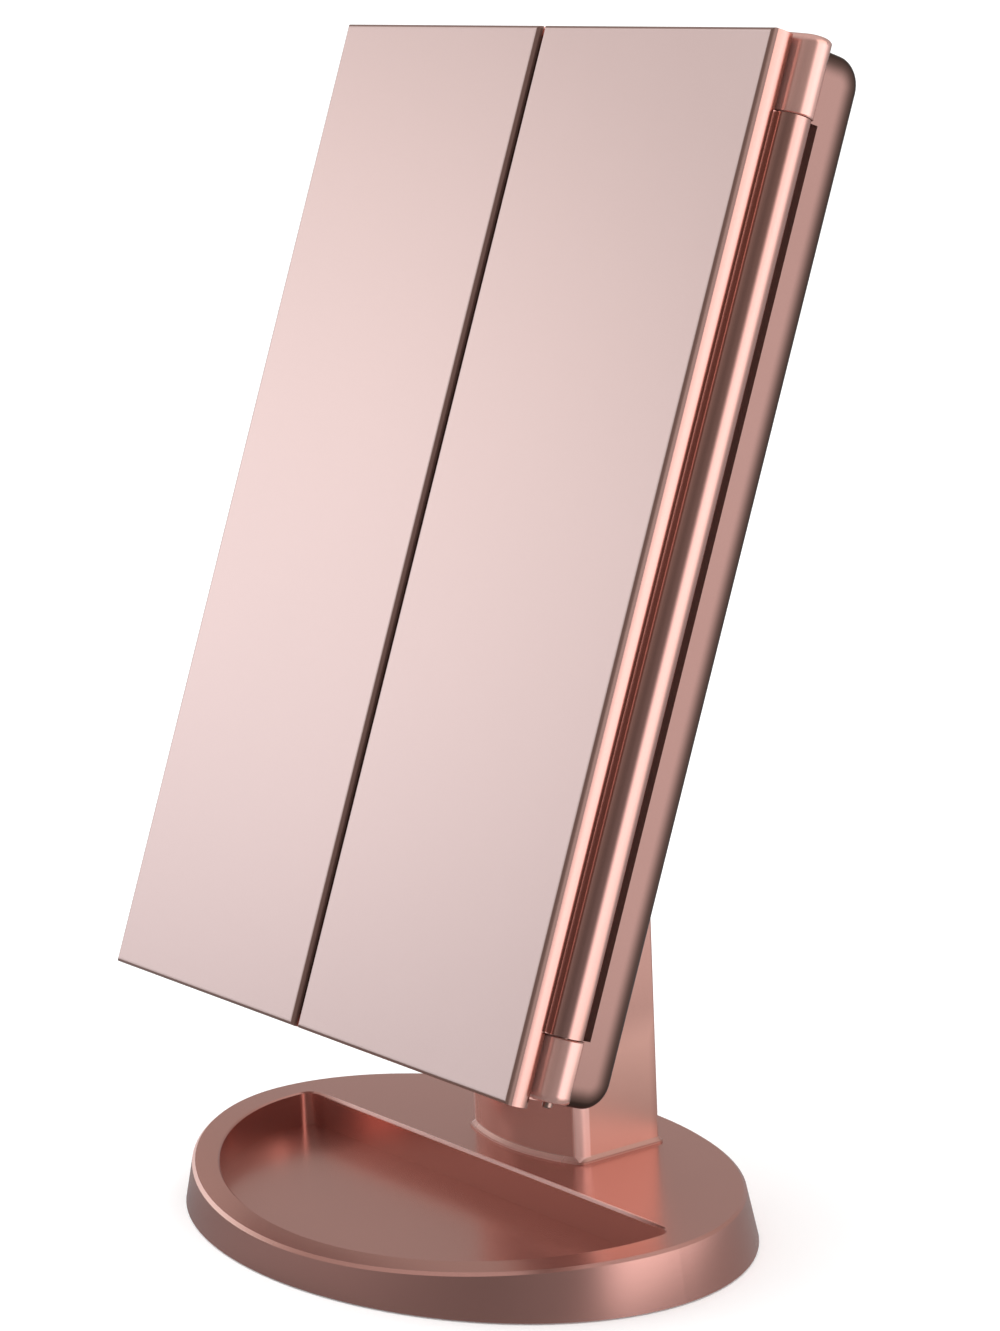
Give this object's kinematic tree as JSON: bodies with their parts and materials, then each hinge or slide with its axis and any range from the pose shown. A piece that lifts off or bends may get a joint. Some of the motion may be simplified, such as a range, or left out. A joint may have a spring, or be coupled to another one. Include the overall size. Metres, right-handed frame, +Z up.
{
  "type": "trifold vanity mirror",
  "caption": "Lit tabletop make-up mirror: two folding wings over a centre mirror, tilting on a stem with an oval tray base.",
  "frame": {"origin": "middle of the oval base, on the ground plane under its feet", "axes": "+X to the viewer's right, +Y to the back, +Z up; wings closed and the head leaning back 20.6 degrees"},
  "size_m": [0.179, 0.1299, 0.2966],
  "materials": {
    "rose_shell": "satin rose-gold metallic paint on moulded ABS",
    "rose_plate": "smooth pale rose-gold metallic lacquer on a flat plate",
    "black_plastic": "matte black ABS",
    "white_plastic": "matte white ABS",
    "rubber": "soft black rubber",
    "steel_plate": "zinc-plated steel sheet",
    "screw_steel": "nickel-plated steel",
    "nickel": "nickel-plated steel",
    "cell_jacket": "plain printed sleeve, no wording",
    "circuit_board": "green solder mask",
    "nylon": "natural nylon",
    "mirror_glass": "silvered float glass",
    "light_diffuser": "frosted white acrylic",
    "led_lens": "yellow phosphor in a white case",
    "copper_pad": "plain copper",
    "chip_black": "moulded epoxy, unmarked",
    "foam": "white double-sided foam tape"
  },
  "bodies": {
    "stand": {"base_tray": "rose_shell", "bottom_cover": "black_plastic", "rubber_feet": "rubber", "weight_plate": "steel_plate", "cover_screws": "screw_steel", "stem_screws": "screw_steel", "stem_shell": "rose_shell", "battery_holder": "black_plastic", "batteries": "cell_jacket", "battery_contacts": "nickel", "power_board": "circuit_board", "usb_socket": "nickel", "switch_body": "black_plastic", "friction_washers": "nylon"},
    "battery_door": {"battery_door": "rose_shell"},
    "power_switch": {"switch_knob": "black_plastic"},
    "head": {"tilt_axle": "nickel", "axle_nut": "nickel", "spring_washer": "nickel", "hinge_caps": "rose_shell", "back_shell": "rose_shell", "front_bezel": "rose_shell", "centre_mirror": "mirror_glass", "mirror_backing": "black_plastic", "left_light_strip": "light_diffuser", "right_light_strip": "light_diffuser", "left_light_box": "white_plastic", "right_light_box": "white_plastic", "left_led_board": "circuit_board", "right_led_board": "circuit_board", "left_leds": "led_lens", "right_leds": "led_lens", "touch_sensor": "copper_pad", "control_board": "circuit_board", "board_parts": "chip_black", "shell_screws": "screw_steel", "hinge_pins": "nickel"},
    "left_wing": {"left_wing_outer_plate": "rose_plate", "left_wing_frame": "rose_shell", "left_wing_foam_tape": "foam", "left_wing_bushings": "nylon", "magnifier_triple": "mirror_glass", "magnifier_double": "mirror_glass"},
    "right_wing": {"right_wing_outer_plate": "rose_plate", "right_wing_frame": "rose_shell", "right_wing_mirror": "mirror_glass", "right_wing_foam_tape": "foam", "right_wing_bushings": "nylon"}
  },
  "joints": [
    {"name": "tilt", "type": "hinge", "parent": "stand", "child": "head", "pos_m": [0, 0.024, 0.1385], "axis": [-1, 0, 0], "range_deg": [-20.6, 69.4]},
    {"name": "left_wing_fold", "type": "hinge", "parent": "head", "child": "left_wing", "pos_m": [-0.085, 0.00688, 0.17453], "axis": [0, -0.3518, -0.9361], "range_deg": [0, 180]},
    {"name": "right_wing_fold", "type": "hinge", "parent": "head", "child": "right_wing", "pos_m": [0.085, 0.00688, 0.17453], "axis": [0, 0.3518, 0.9361], "range_deg": [0, 180]},
    {"name": "battery_door_swing", "type": "hinge", "parent": "stand", "child": "battery_door", "pos_m": [0, 0.045, 0.0528], "axis": [-1, 0, 0], "range_deg": [0, 75]},
    {"name": "power_switch_slide", "type": "slide", "parent": "stand", "child": "power_switch", "axis": [1, 0, 0], "range_m": [0, 0.0024]}
  ]
}
